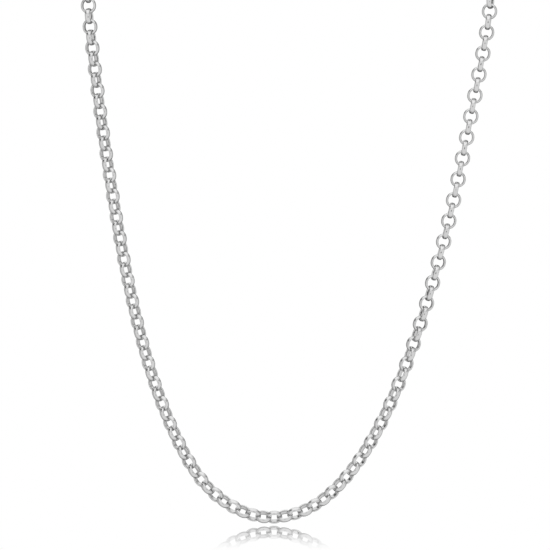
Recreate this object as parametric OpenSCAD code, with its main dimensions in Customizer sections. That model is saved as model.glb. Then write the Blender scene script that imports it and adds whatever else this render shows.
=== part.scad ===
// Rolo chain necklace in the form it has when worn: a loop of nearly round domed links, each passing
// through the next, closed at the nape by a plain ring with an eye. Millimetres, +Z up, the front faces
// -Y, and the origin is on the chain's middle line at the nape, where the neck carries it.

/* [Links] */
// Outer width of a link across the chain
link_d = 4.0; // [3.8:0.05:4.6]
// Length of the straight between a link's two half rounds, which makes it longer along the chain
link_straight = 0.22; // [0.1:0.02:0.4]
// Thickness of a link's band in the middle of its width
band_t = 0.6; // [0.5:0.02:0.7]
// Width of a link's band along the link's own axis
band_w = 1.3; // [1.1:0.05:1.4]
// Width of the straight crown in the middle of the band's outer face
crown_w = 0.3; // [0.2:0.05:0.5]
// Radius of the round shoulders to either side of the crown
shoulder_r = 0.7; // [0.6:0.05:0.9]
// Radius of the dome across the inner face of the band
inner_dome_r = 1.0; // [0.8:0.05:1.1]
// Gap between the inner faces of two pieces that pass through each other
link_play = 0.18; // [0.15:0.01:0.3]

/* [Clasp] */
// Outer diameter of the clasp's ring
clasp_d = 7.0; // [6:0.1:9]
// Thickness of the ring's wire
clasp_wire = 1.3; // [1:0.1:1.6]
// Outer diameter of the eye on the ring
eye_d = 3.8; // [3.6:0.1:5]
// Thickness of the eye's wire
eye_wire = 0.8; // [0.6:0.1:1]
// Depth to which the eye is sunk into the ring where the two are soldered
eye_sink = 0.5; // [0.3:0.1:0.7]
// Distance of the clasp's middle from the middle of the nape, measured along the chain
clasp_shift = -0.7; // [-4:0.1:4]

/* [Hidden] */
$fn = 48;
silver = [0.78, 0.78, 0.78];

// Points that draw the chain's middle line towards them: a closed loop, from the nape down the left
// strand, round the lowest link and up the right strand. The last two columns are the angles by which the
// flat links are turned out of the loop's own face and the upright links out of the plane across it.
front_y = -27;
route = [
    [0, 2.5, 0, 4, 4],
    [-28, -6, 0, 5, 5],
    [-42, -10.5, -1.5, 8, 8],
    [-49.5, -18, -5.5, 12, 12],
    [-52.5, -25, -13, 15, 15],
    [-53, front_y - 0.5, -23, 18, 18],
    [-51.5, front_y, -36, 29, 26],
    [-49.5, front_y, -52.5, 37, 32],
    [-46.5, front_y, -72.5, 40, 36],
    [-43, front_y, -93, 40, 37],
    [-38.5, front_y, -113, 43, 37],
    [-33, front_y, -130, 43, 39],
    [-25.5, front_y, -146, 38, 34],
    [-17.5, front_y, -154.5, 38, 36],
    [-6, front_y, -159.5, 47, 40],
    [7.5, front_y, -156, 47, 40],
    [17, front_y, -146, 43, 38],
    [24.5, front_y, -134, 39, 36],
    [32, front_y, -116, 33, 28],
    [38.5, front_y, -95, 12, 6],
    [43.5, front_y, -75, 5, 0],
    [47.5, front_y, -55, 3, -1],
    [51, front_y, -37, 3, -1],
    [53.5, front_y - 0.5, -23, 3, -2],
    [53, -24.5, -13.5, 4, -3],
    [49, -18, -6, 3, -2],
    [42, -10.5, -2, 3, 0],
    [28, -4, 0, 3, 2],
];
// A point inside the loop, which tells its inner side from its outer side
loop_middle = [0, front_y, -90];
// Steps in which the line is followed from one point of the route to the next
route_steps = 12;
// Distance to either side at which the chain's direction is read
look = 0.5;

function unit(v) = v / norm(v);
function place(row) = [row[0], row[1], row[2]];
function row(i) = route[(i + len(route)) % len(route)];

// The smooth line from beside one point of the route to beside the next, for u from 0 to 1
function between(i, u) =
    (row(i - 1) * (1 - u) ^ 3
    + row(i) * (3 * u ^ 3 - 6 * u ^ 2 + 4)
    + row(i + 1) * (1 + 3 * u + 3 * u ^ 2 - 3 * u ^ 3)
    + row(i + 2) * u ^ 3) / 6;

// The sum of a list's first i values, for each i from 0 to the whole list
function sums(list) = [
    for (i = 0, total = 0; i <= len(list); total = total + (i < len(list) ? list[i] : 0), i = i + 1)
        total
];

track = [for (i = [0 : len(route) - 1]) for (j = [0 : route_steps - 1]) between(i, j / route_steps)];
steps = [for (i = [0 : len(track) - 1]) norm(place(track[(i + 1) % len(track)]) - place(track[i]))];
stations = sums(steps);
loop_length = stations[len(track)];
columns = [for (c = [0 : 4]) [for (i = [0 : len(track)]) [stations[i], track[i % len(track)][c]]]];

// What the line does at a distance s along it from the nape
function around(s) = (s + loop_length) % loop_length;
function point_at(s) = [for (c = [0 : 2]) lookup(around(s), columns[c])];
function flat_turn_at(s) = lookup(around(s), columns[3]);
function upright_turn_at(s) = lookup(around(s), columns[4]) + 90;
function along_at(s) = unit(point_at(s + look) - point_at(s - look));
function outward_at(s) =
    let (v = point_at(s) - loop_middle, t = along_at(s))
    unit(v - (v * t) * t);

// Distances between the middles of pieces that pass through each other with the play left
link_bore = link_d - 2 * band_t;
bore_length = link_bore + link_straight;
hook_link = bore_length - link_play;
clasp_bore = clasp_d - 2 * clasp_wire;
eye_bore = eye_d - 2 * eye_wire;
hook_ring = (bore_length + clasp_bore) / 2 - link_play;
hook_eye = (bore_length + eye_bore) / 2 - link_play;
ring_to_eye = (clasp_d + eye_d) / 2 - eye_sink;
clasp_span = hook_ring + ring_to_eye + hook_eye;

// An even number of steps makes both end links stand across the clasp
chain_length = loop_length - clasp_span;
link_steps = 2 * ceil(chain_length / hook_link / 2);
pitch = chain_length / link_steps;
first_station = clasp_shift + clasp_span / 2;
middle_link = link_steps / 2;

// Sets a piece that lies flat round its Z axis onto the chain, its X axis along the chain
module at_station(s, turn) {
    t = along_at(s);
    o = outward_at(s);
    axis = cos(turn) * cross(o, t) + sin(turn) * o;
    side = cross(axis, t);
    p = point_at(s);
    multmatrix([
        [t[0], side[0], axis[0], p[0]],
        [t[1], side[1], axis[1], p[1]],
        [t[2], side[2], axis[2], p[2]],
        [0, 0, 0, 1],
    ])
        children();
}

// The outer face of the band as the side of a flat shape: a straight crown between two round shoulders
module crown() {
    translate([0, -crown_w / 2])
        square([link_d / 2, crown_w]);
    for (z = [-crown_w, crown_w] / 2)
        translate([link_d / 2 - shoulder_r, z])
            circle(shoulder_r);
}

// The band's cut beside the axis of a half round
module band_cut() {
    intersection() {
        crown();
        translate([link_bore / 2 + inner_dome_r, 0])
            circle(inner_dome_r);
        translate([0, -band_w / 2])
            square([link_d, band_w]);
    }
}

// One link, its X axis along the chain: two half rounds of the band, joined by two straights
module link() {
    for (turn = [0, 180])
        rotate(turn) {
            translate([link_straight / 2, 0, 0])
                rotate(-90)
                    rotate_extrude(angle = 180)
                        band_cut();
            translate([-link_straight / 2, 0, 0])
                rotate([90, 0, 90])
                    linear_extrude(link_straight)
                        band_cut();
        }
}

// The links from one number to another, upright and flat by turns
module links(first, last) {
    for (k = [first : last]) {
        s = first_station + k * pitch;
        at_station(s, k % 2 == 0 ? upright_turn_at(s) : flat_turn_at(s))
            link();
    }
}

module wire_ring(outer_d, wire) {
    rotate_extrude()
        translate([(outer_d - wire) / 2, 0])
            circle(d = wire);
}

module chain_left() {
    color(silver)
        links(0, middle_link);
}

module chain_right() {
    color(silver)
        links(middle_link + 1, link_steps);
}

module clasp() {
    color(silver)
        at_station(clasp_shift, flat_turn_at(clasp_shift)) {
            translate([hook_ring - clasp_span / 2, 0, 0])
                wire_ring(clasp_d, clasp_wire);
            translate([clasp_span / 2 - hook_eye, 0, 0])
                wire_ring(eye_d, eye_wire);
        }
}

chain_left();
chain_right();
clasp();
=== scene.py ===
import bisect
import math
import random

import bpy
from mathutils import Matrix, Vector


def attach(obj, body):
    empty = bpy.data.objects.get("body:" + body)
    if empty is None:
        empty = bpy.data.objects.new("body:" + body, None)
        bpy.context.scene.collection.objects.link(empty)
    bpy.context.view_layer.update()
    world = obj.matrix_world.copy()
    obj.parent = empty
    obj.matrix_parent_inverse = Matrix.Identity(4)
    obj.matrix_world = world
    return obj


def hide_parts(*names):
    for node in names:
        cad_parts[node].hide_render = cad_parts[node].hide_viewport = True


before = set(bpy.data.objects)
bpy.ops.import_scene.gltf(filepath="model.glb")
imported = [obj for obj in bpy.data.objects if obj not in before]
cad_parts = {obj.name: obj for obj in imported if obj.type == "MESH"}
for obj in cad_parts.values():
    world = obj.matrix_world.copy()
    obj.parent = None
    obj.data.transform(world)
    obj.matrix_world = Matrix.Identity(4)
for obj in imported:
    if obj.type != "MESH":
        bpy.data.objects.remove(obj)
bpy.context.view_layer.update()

# Sizes in metres, angles in degrees
MM = 0.001

# The chain's links: two half rounds of a domed band, joined by short straights along the chain
LINK_D = 4.0 * MM
LINK_STRAIGHT = 0.22 * MM
BAND_T = 0.6 * MM
BAND_W = 1.3 * MM
BORE_LENGTH = LINK_D - 2 * BAND_T + LINK_STRAIGHT

# The band's cut: how far its inner face bulges, and how square each face is, where 2 is round
INNER_BULGE = 0.2 * MM
OUTER_SQUARENESS = 2.3
INNER_SQUARENESS = 2.4

# Cuts along each half round, and points round each cut
HALF_STEPS = 27
CUT_STEPS = 18

# The most that a link rolls about the chain, and the seed for each link's roll, tone and place in the streaks
ROLL_WOBBLE = 1.5
SEED = 7

# The play between two links, the clasp's ring and eye, and how far the clasp's middle stands from the nape's.
# They settle where the links sit on the route.
PLAY = 0.18 * MM
CLASP_D = 7.0 * MM
CLASP_WIRE = 1.3 * MM
EYE_D = 3.8 * MM
EYE_WIRE = 0.8 * MM
EYE_SINK = 0.5 * MM
CLASP_SHIFT = -0.7 * MM
HOOK_RING = (BORE_LENGTH + CLASP_D - 2 * CLASP_WIRE) / 2 - PLAY
HOOK_EYE = (BORE_LENGTH + EYE_D - 2 * EYE_WIRE) / 2 - PLAY
CLASP_SPAN = HOOK_RING + (CLASP_D + EYE_D) / 2 - EYE_SINK + HOOK_EYE

# Points that draw the chain's middle line towards them, from the nape down the left strand, round the
# lowest link and up the right one. The last columns are the turns of the flat links out of the loop's
# face and of the upright links out of the plane across it.
FRONT_Y = -0.027
ROUTE = [
    (0, 0.0025, 0, 4, 4),
    (-0.028, -0.006, 0, 5, 5),
    (-0.042, -0.0105, -0.0015, 8, 8),
    (-0.0495, -0.018, -0.0055, 12, 12),
    (-0.0525, -0.025, -0.013, 15, 15),
    (-0.053, FRONT_Y - 0.0005, -0.023, 18, 18),
    (-0.0515, FRONT_Y, -0.036, 29, 26),
    (-0.0495, FRONT_Y, -0.0525, 37, 32),
    (-0.0465, FRONT_Y, -0.0725, 40, 36),
    (-0.043, FRONT_Y, -0.093, 40, 37),
    (-0.0385, FRONT_Y, -0.113, 43, 37),
    (-0.033, FRONT_Y, -0.13, 43, 39),
    (-0.0255, FRONT_Y, -0.146, 38, 34),
    (-0.0175, FRONT_Y, -0.1545, 38, 36),
    (-0.006, FRONT_Y, -0.1595, 47, 40),
    (0.0075, FRONT_Y, -0.156, 47, 40),
    (0.017, FRONT_Y, -0.146, 43, 38),
    (0.0245, FRONT_Y, -0.134, 39, 36),
    (0.032, FRONT_Y, -0.116, 33, 28),
    (0.0385, FRONT_Y, -0.095, 12, 6),
    (0.0435, FRONT_Y, -0.075, 5, 0),
    (0.0475, FRONT_Y, -0.055, 3, -1),
    (0.051, FRONT_Y, -0.037, 3, -1),
    (0.0535, FRONT_Y - 0.0005, -0.023, 3, -2),
    (0.053, -0.0245, -0.0135, 4, -3),
    (0.049, -0.018, -0.006, 3, -2),
    (0.042, -0.0105, -0.002, 3, 0),
    (0.028, -0.004, 0, 3, 2),
]

# Steps from one point of the route to the next, and how far to either side the chain's way is read
ROUTE_STEPS = 12
LOOK = 0.5 * MM

# A point inside the loop, which tells its inner side from its outer side
LOOP_MIDDLE = Vector((0, FRONT_Y, -0.09))

# The silver's brightness and roughness, and how far faint clouds, streaks in the band's polish, each link's
# own tone, the dull inner face and the painted shade, with a rougher polish, where two links meet change them
SILVER = 0.78
CLOUD_TONE = 0.06
LINK_TONE = 0.05
INSIDE_DULL = 0.1
CONTACT_SHADE = 0.65
ROUGHNESS = 0.05
CLOUD_ROUGHNESS = 0.05
STREAK_ROUGHNESS = 0.06
DULL_ROUGHNESS = 0.1

# How far from the middle of the inner face its dullness starts to fade and is gone, in turns round the cut
INSIDE_EDGE = (0.1, 0.24)

# How far the painted shade reaches from where two links rub, and the share of the way in at which it is full
CONTACT_SHADE_REACH = 0.75 * MM
CONTACT_SHADE_EDGE = (0.0, 0.6)

# Noise in the polish: how fine it is, per metre or round the link and round its cut, and how high it stands
CLOUD_SCALE = 900
WAVE_SCALE = 520
DENT_SCALE = 2200
STREAK_SCALE = (6, 60, 1)
CLOUD_HEIGHT = 3e-6
WAVE_HEIGHT = 22e-6
DENT_HEIGHT = 30e-6
STREAK_HEIGHT = 1.2e-6

# The floor, and how far above it the clear film lies. Its mirror is strongest beneath the lowest link and
# fades over an oval that is longest in depth, because a step in depth counts least.
FLOOR_Z = -160.1 * MM
FLOOR_SIZE = 8.0
CLEAR_FILM_ABOVE = 0.02 * MM
MIRROR_X = -4 * MM
MIRROR_REACH = 60 * MM
MIRROR_WEIGHTS = (0.6, 0.25, 1)
MIRROR_LEVEL = 0.88

# The studio that the silver sees: the level of its walls, what the front gains on them, the level of the
# light overhead, and the shares of their light that the dark parts take away
WALLS = 0.57
FRONT_GAIN = 0.27
OVERHEAD = 1.06
LENS_DARK = 0.8
BACK_DARK = 0.75
BELT_DARK = 0.38
ENDS_DARK = 0.48
FLAG_DARK = 0.92

# The ways in which its parts lie, x to the right, y to the back and z up. An edge is how far a look goes in
# such a way where the part begins, and where it is full.
FRONT_WAY = (0.28, -1, -0.16)
FRONT_EDGE = (0.08, 0.18)
LENS_WAY = (0, -1, -0.07)
LENS_EDGE = (0.982, 0.994)
FLAG_WAY = (-0.76, -0.02, 0.65)
FLAG_EDGE = (0.965, 0.978)
BACK_NARROWING = 0.4
BACK_EDGE = (0.25, 0.45)
BELT_EDGE = (0.35, 0.4)
BELT_FRONT_EDGE = (-0.9, -0.5)
OVERHEAD_EDGE = (0.52, 0.68)
OVERHEAD_ENDS = (0.3, 0.8)

WHITE = (1, 1, 1, 1)

# The camera is level, and far, so that the mirror image looks like the chain turned over. The picture's
# scale is that of the plane in which the front of the chain hangs.
PICTURE = 550
PIXELS_PER_MM = 3.8
FIELD = PICTURE / PIXELS_PER_MM * MM
VIEW_X = -3.58 * MM
VIEW_Z = -94.37 * MM
LENS = 600
SENSOR = 36


# The chain's line

def route_row(i):
    return Vector(ROUTE[i % len(ROUTE)])


def between(i, u):
    """The smooth line from beside one point of the route to beside the next, for u from 0 to 1."""
    return (route_row(i - 1) * (1 - u) ** 3
            + route_row(i) * (3 * u ** 3 - 6 * u ** 2 + 4)
            + route_row(i + 1) * (1 + 3 * u + 3 * u ** 2 - 3 * u ** 3)
            + route_row(i + 2) * u ** 3) / 6


class ChainLine:
    """The loop's middle line, read by the distance along it from the nape, and the links' places on it."""

    def __init__(self):
        self.track = [between(i, j / ROUTE_STEPS) for i in range(len(ROUTE)) for j in range(ROUTE_STEPS)]
        self.track.append(self.track[0])
        self.stations = [0.0]
        for a, b in zip(self.track, self.track[1:]):
            self.stations.append(self.stations[-1] + (Vector(b[:3]) - Vector(a[:3])).length)
        self.length = self.stations[-1]
        chain_length = self.length - CLASP_SPAN
        self.link_steps = 2 * math.ceil(chain_length / (BORE_LENGTH - PLAY) / 2)
        self.pitch = chain_length / self.link_steps
        self.first_station = CLASP_SHIFT + CLASP_SPAN / 2

    def read(self, s):
        """The line's place and its two turns at a distance s."""
        s %= self.length
        i = min(bisect.bisect_right(self.stations, s), len(self.stations) - 1)
        share = (s - self.stations[i - 1]) / (self.stations[i] - self.stations[i - 1])
        return self.track[i - 1] * (1 - share) + self.track[i] * share

    def point(self, s):
        return Vector(self.read(s)[:3])

    def place(self, k, roll):
        """The matrix that sets link k, flat round its Z axis, onto the line with its X axis along it."""
        s = self.first_station + k * self.pitch
        here = self.point(s)
        along = (self.point(s + LOOK) - self.point(s - LOOK)).normalized()
        out = here - LOOP_MIDDLE
        out = (out - out.dot(along) * along).normalized()
        flat_turn, upright_turn = self.read(s)[3:]
        turn = math.radians((upright_turn + 90 if k % 2 == 0 else flat_turn) + roll)
        axis = math.cos(turn) * out.cross(along) + math.sin(turn) * out
        side = axis.cross(along)
        turned = Matrix((along, side, axis)).transposed()
        return Matrix.Translation(here) @ turned.to_4x4()


# The links

def bulge(share, squareness):
    """The sine or cosine of a round, drawn out towards a square."""
    return math.copysign(abs(share) ** (2 / squareness), share)


def band_cut():
    """The band's cut beside the link's axis: radius and height of each point, round a squared oval."""
    widest_r = LINK_D / 2 - BAND_T + INNER_BULGE
    points = []
    for j in range(CUT_STEPS):
        a = 2 * math.pi * j / CUT_STEPS
        outer = math.cos(a) > 0
        depth = BAND_T - INNER_BULGE if outer else INNER_BULGE
        squareness = OUTER_SQUARENESS if outer else INNER_SQUARENESS
        points.append((widest_r + depth * bulge(math.cos(a), squareness),
                       BAND_W / 2 * bulge(math.sin(a), squareness)))
    return points


def link_grid():
    """A link's points and faces, and each face corner's place round the link and round the band's cut."""
    cut = band_cut()
    points, faces, corners = [], [], []
    for half in range(2):
        for i in range(HALF_STEPS):
            a = math.pi * (half + i / (HALF_STEPS - 1) - 0.5)
            shift = LINK_STRAIGHT * (0.5 - half)
            points += [Vector((shift + r * math.cos(a), r * math.sin(a), z)) for r, z in cut]
    around_steps = 2 * HALF_STEPS
    for i in range(around_steps):
        for j in range(CUT_STEPS):
            ring = [(i, j), (i + 1, j), (i + 1, j + 1), (i, j + 1)]
            faces.append([(m % around_steps) * CUT_STEPS + n % CUT_STEPS for m, n in ring])
            corners += [(m / around_steps, n / CUT_STEPS) for m, n in ring]
    return points, faces, corners


def painted_contact_shade(point):
    """How far a point of a link, its X axis along the chain, lies in the painted shade where the neighbours
    rub.
    """
    rub = Vector((math.copysign(BORE_LENGTH / 2, point.x), 0, 0))
    return max(0.0, 1 - (point - rub).length / CONTACT_SHADE_REACH)


def make_chain(name, line, first, last, chance):
    """One mesh of the links from one number to another, upright and flat by turns."""
    points, faces, corners = link_grid()
    # Painted shade: each point's share of the darkening where the neighbours meet, where shade falls between
    # links
    clear_film_and_contact_shade = [painted_contact_shade(p) for p in points]
    all_points, all_faces, all_corners, tones, contact_shades = [], [], [], [], []
    for k in range(first, last + 1):
        start = len(all_points)
        place = line.place(k, chance.uniform(-ROLL_WOBBLE, ROLL_WOBBLE))
        shift = chance.random()
        all_points += [place @ p for p in points]
        all_faces += [[start + v for v in face] for face in faces]
        all_corners += [(u + shift, v) for u, v in corners]
        tones += [chance.random()] * len(points)
        contact_shades += clear_film_and_contact_shade
    mesh = bpy.data.meshes.new(name)
    mesh.from_pydata(all_points, [], all_faces)
    mesh.shade_smooth()
    uv = mesh.uv_layers.new(name="band")
    uv.uv.foreach_set("vector", [c for corner in all_corners for c in corner])
    for label, values in (("link_tone", tones), ("clear_film_and_contact_shade", contact_shades)):
        mesh.attributes.new(label, "FLOAT", "POINT").data.foreach_set("value", values)
    chain = bpy.data.objects.new(name, mesh)
    bpy.context.scene.collection.objects.link(chain)
    return chain


# Shaders

class Value:
    """A node's output. Its sums, products and comparisons with numbers or other outputs add Math nodes."""

    def __init__(self, shader, output):
        self.shader = shader
        self.output = output

    def out(self, name):
        """Another output of the same node."""
        return Value(self.shader, self.output.node.outputs[name])

    def math(self, operation, a, b=0.0):
        return self.shader.node("ShaderNodeMath", {"operation": operation}, {0: a, 1: b})

    def __add__(self, other):
        return self.math("ADD", self, other)

    def __sub__(self, other):
        return self.math("SUBTRACT", self, other)

    def __rsub__(self, other):
        return self.math("SUBTRACT", other, self)

    def __mul__(self, other):
        return self.math("MULTIPLY", self, other)

    def __gt__(self, other):
        return self.math("GREATER_THAN", self, other)

    def __lt__(self, other):
        return self.math("LESS_THAN", self, other)

    def __abs__(self):
        return self.math("ABSOLUTE", self)

    __radd__ = __add__
    __rmul__ = __mul__


class Shader:
    """The nodes of one material or world."""

    def __init__(self, owner):
        owner.use_nodes = True
        self.tree = owner.node_tree
        self.tree.nodes.clear()

    def node(self, kind, settings, sockets, output=0):
        """Adds a node, sets it, fills its sockets with values or links, and gives one of its outputs."""
        made = self.tree.nodes.new(kind)
        for name, value in settings.items():
            setattr(made, name, value)
        for name, value in sockets.items():
            if isinstance(value, Value):
                self.tree.links.new(value.output, made.inputs[name])
            else:
                made.inputs[name].default_value = value
        return Value(self, made.outputs[output] if made.outputs else None)

    def rise(self, value, low, high):
        """0 below low, 1 above high and smooth between."""
        return self.node("ShaderNodeMapRange", {"interpolation_type": "SMOOTHSTEP"},
                         {"Value": value, "From Min": low, "From Max": high})

    def vector(self, operation, a, b, output=0):
        return self.node("ShaderNodeVectorMath", {"operation": operation}, {0: a, 1: b}, output)

    def dot(self, a, b):
        return self.vector("DOT_PRODUCT", a, b, "Value")

    def attribute(self, name):
        return self.node("ShaderNodeAttribute", {"attribute_name": name}, {}, "Fac")

    def noise(self, place, scale, detail):
        return self.node("ShaderNodeTexNoise", {}, {"Vector": place, "Scale": scale, "Detail": detail})

    def grey(self, value):
        return self.node("ShaderNodeCombineColor", {}, {"Red": value, "Green": value, "Blue": value})


def silver(name, banded):
    """Polished silver with faint clouds and waves. The links' band also has dents, streaks and painted shade
    where links meet.
    """
    material = bpy.data.materials.new(name)
    shader = Shader(material)
    place = shader.node("ShaderNodeTexCoord", {}, {}, "Object")
    clouds = shader.noise(place, CLOUD_SCALE, detail=3)
    waves = shader.noise(place, WAVE_SCALE, detail=1)
    tone = SILVER + CLOUD_TONE * (clouds - 0.5)
    rough = ROUGHNESS + CLOUD_ROUGHNESS * (clouds - 0.5)
    if banded:
        dents = shader.noise(place, DENT_SCALE, detail=1)
        band = shader.node("ShaderNodeUVMap", {"uv_map": "band"}, {})
        streaks = shader.noise(shader.vector("MULTIPLY", band, STREAK_SCALE), 1, detail=2)
        round_cut = shader.node("ShaderNodeSeparateXYZ", {}, {"Vector": band}, "Y")
        inside = 1 - shader.rise(abs(round_cut - 0.5), *INSIDE_EDGE)
        # Painted shade where two links meet darkens the silver's colour and also makes it rougher there
        clear_film_and_contact_shade = shader.rise(shader.attribute("clear_film_and_contact_shade"), *CONTACT_SHADE_EDGE)
        dull_and_shade = INSIDE_DULL * inside + CONTACT_SHADE * clear_film_and_contact_shade
        tone = tone - LINK_TONE * shader.attribute("link_tone") - dull_and_shade
        rough = rough + DULL_ROUGHNESS * dull_and_shade + STREAK_ROUGHNESS * (streaks - 0.5)
        height = waves * WAVE_HEIGHT + dents * DENT_HEIGHT + streaks * STREAK_HEIGHT
    else:
        height = waves * WAVE_HEIGHT + clouds * CLOUD_HEIGHT
    normal = shader.node("ShaderNodeBump", {}, {"Strength": 1.0, "Distance": 1.0, "Height": height})
    color = shader.grey(tone)
    metal = shader.node("ShaderNodeBsdfPrincipled", {},
                        {"Base Color": color, "Metallic": 1.0, "Roughness": rough, "Normal": normal})
    shader.node("ShaderNodeOutputMaterial", {}, {"Surface": metal})
    return material


def floor_gloss():
    """White that mirrors the chain near its lowest link."""
    material = bpy.data.materials.new("white_floor")
    shader = Shader(material)
    place = shader.node("ShaderNodeNewGeometry", {}, {}, "Position")
    foot = shader.vector("SUBTRACT", place, (MIRROR_X, FRONT_Y, FLOOR_Z))
    weighed = shader.vector("MULTIPLY", foot, MIRROR_WEIGHTS)
    away = shader.node("ShaderNodeVectorMath", {"operation": "LENGTH"}, {0: weighed}, "Value")
    fade = MIRROR_LEVEL * (1 - shader.rise(away, 0, MIRROR_REACH))
    white = shader.node("ShaderNodeEmission", {}, {"Color": WHITE})
    mirror = shader.node("ShaderNodeBsdfGlossy", {}, {"Color": WHITE, "Roughness": 0.0})
    mixed = shader.node("ShaderNodeMixShader", {}, {0: fade, 1: white, 2: mirror})
    shader.node("ShaderNodeOutputMaterial", {}, {"Surface": mixed})
    return material


def clear_film():
    """Wholly clear. It only marks the light that goes by the floor, for which the world is white."""
    material = bpy.data.materials.new("clear_film")
    shader = Shader(material)
    clear = shader.node("ShaderNodeBsdfTransparent", {}, {"Color": WHITE})
    shader.node("ShaderNodeOutputMaterial", {}, {"Surface": clear})
    return material


def studio():
    """
    White for the camera and for light that goes by the floor. The silver sees grey walls, lighter in front
    and dark at the back, with a dark lens straight ahead, a light overhead that dims at its two ends, a
    dimmer belt below it but for the very front, and a small dark flag high on the left.
    """
    world = bpy.data.worlds.new("studio")
    shader = Shader(world)
    way = shader.node("ShaderNodeTexCoord", {}, {}, "Generated")
    x = shader.node("ShaderNodeSeparateXYZ", {}, {"Vector": way}, "X")
    y = x.out("Y")
    z = x.out("Z")
    front = shader.rise(shader.dot(way, FRONT_WAY), *FRONT_EDGE)
    lens = shader.rise(shader.dot(way, LENS_WAY), *LENS_EDGE)
    flag = shader.rise(shader.dot(way, FLAG_WAY), *FLAG_EDGE)
    back = shader.rise(y - BACK_NARROWING * abs(x), *BACK_EDGE)
    belt = shader.rise(z, *BELT_EDGE) * shader.rise(y, *BELT_FRONT_EDGE)
    ends = shader.rise(abs(x), *OVERHEAD_ENDS)
    overhead = shader.rise(z, *OVERHEAD_EDGE) * (1 - ENDS_DARK * ends)
    walls = (WALLS + FRONT_GAIN * front) * (1 - LENS_DARK * lens)
    walls = walls * (1 - BACK_DARK * back) * (1 - BELT_DARK * belt)
    light = (walls * (1 - overhead) + OVERHEAD * overhead) * (1 - FLAG_DARK * flag)
    seen = shader.node("ShaderNodeLightPath", {}, {}, "Is Camera Ray")
    # Light that goes by the floor has passed its clear film and met no glossy face but its mirror
    by_floor = (seen.out("Transparent Depth") > 0.5) * (seen.out("Glossy Depth") < 1.5)
    white = 1 - (1 - seen) * (1 - by_floor)
    level = light * (1 - white) + white
    background = shader.node("ShaderNodeBackground", {}, {"Color": shader.grey(level)})
    shader.node("ShaderNodeOutputWorld", {}, {"Surface": background})
    return world


# The chain

line = ChainLine()
middle_link = line.link_steps // 2
chance = random.Random(SEED)
left = make_chain("left_chain", line, 0, middle_link, chance)
right = make_chain("right_chain", line, middle_link + 1, line.link_steps, chance)
link_silver = silver("link_silver", True)
for chain, node in ((left, "chain_left"), (right, "chain_right")):
    chain.data.materials.append(link_silver)
    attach(chain, "root")
    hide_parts(node)

clasp_silver = silver("clasp_silver", False)
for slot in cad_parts["clasp"].material_slots:
    slot.material = clasp_silver


# The stage, which the silver doesn't mirror and which casts no shadow on it

half = FLOOR_SIZE / 2
sheets = (("floor", FLOOR_Z, floor_gloss()), ("clear_film_and_contact_shade", FLOOR_Z + CLEAR_FILM_ABOVE, clear_film()))
for name, z, material in sheets:
    corners = [(-half, -half, z), (half, -half, z), (half, half, z), (-half, half, z)]
    mesh = bpy.data.meshes.new(name)
    mesh.from_pydata(corners, [], [(0, 1, 2, 3)])
    mesh.materials.append(material)
    sheet = bpy.data.objects.new(name, mesh)
    bpy.context.scene.collection.objects.link(sheet)
    sheet.visible_glossy = False
    sheet.visible_diffuse = False
    sheet.visible_shadow = False


# The camera and the light

camera_data = bpy.data.cameras.new("camera")
camera_data.lens = LENS
camera_data.sensor_width = SENSOR
camera = bpy.data.objects.new("camera", camera_data)
camera.location = (VIEW_X, FRONT_Y - LENS / SENSOR * FIELD, VIEW_Z)
camera.rotation_euler = (math.pi / 2, 0, 0)
bpy.context.scene.collection.objects.link(camera)
bpy.context.scene.camera = camera
bpy.context.scene.world = studio()
bpy.context.scene.view_settings.view_transform = "Standard"
